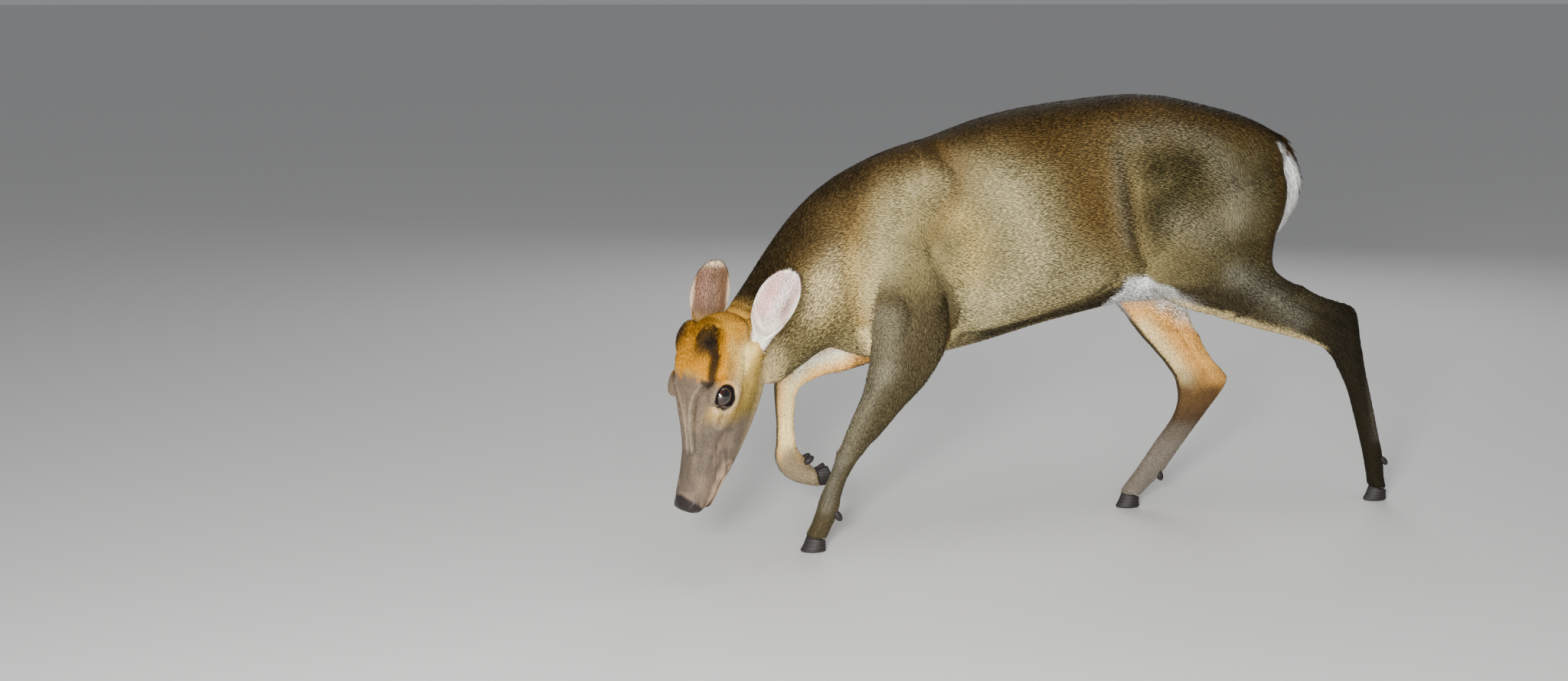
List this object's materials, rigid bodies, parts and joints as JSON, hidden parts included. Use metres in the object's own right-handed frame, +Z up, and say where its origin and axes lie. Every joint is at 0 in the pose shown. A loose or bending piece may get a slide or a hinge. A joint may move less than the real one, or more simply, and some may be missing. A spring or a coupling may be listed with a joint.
{
  "type": "muntjac deer figure",
  "caption": "Life-size walking muntjac without antlers, nose to the ground, back arched, one forefoot lifted, tail hanging close.",
  "frame": {"origin": "middle of the bounding box, on the floor under the belly", "axes": "+Z up, nose towards -X, tail towards +X, the animal's left side towards -Y"},
  "size_m": [1.0914, 0.277, 0.595],
  "materials": {
    "body_coat": "dense short coat, grizzled brown",
    "head_coat": "very short coat, orange brow, grey muzzle",
    "ear_coat": "thin short coat, pale inside",
    "leg_coat": "short sleek coat, dark brown-grey",
    "tail_coat": "long coat, dark above and white below",
    "eye": "wet, glossy",
    "horn": "dull horn"
  },
  "bodies": {
    "root": {"head": "head_coat", "neck": "body_coat", "ear_left": "ear_coat", "ear_right": "ear_coat", "eye_left": "eye", "eye_right": "eye", "left_fore_dewclaw_left": "horn", "left_fore_dewclaw_right": "horn", "right_fore_dewclaw_left": "horn", "right_fore_dewclaw_right": "horn", "left_hind_dewclaw_left": "horn", "left_hind_dewclaw_right": "horn", "right_hind_dewclaw_left": "horn", "right_hind_dewclaw_right": "horn", "left_foreleg_upper": "leg_coat", "left_foreleg_lower": "leg_coat", "right_foreleg_upper": "leg_coat", "right_foreleg_lower": "leg_coat", "left_hindleg_thigh": "leg_coat", "left_hindleg_shank": "leg_coat", "left_hindleg_cannon": "leg_coat", "right_hindleg_thigh": "leg_coat", "right_hindleg_shank": "leg_coat", "right_hindleg_cannon": "leg_coat", "left_fore_hoof_left": "horn", "left_fore_hoof_right": "horn", "right_fore_hoof_left": "horn", "right_fore_hoof_right": "horn", "left_hind_hoof_left": "horn", "left_hind_hoof_right": "horn", "right_hind_hoof_left": "horn", "right_hind_hoof_right": "horn", "torso": "body_coat", "tail": "tail_coat"}
  },
  "joints": []
}
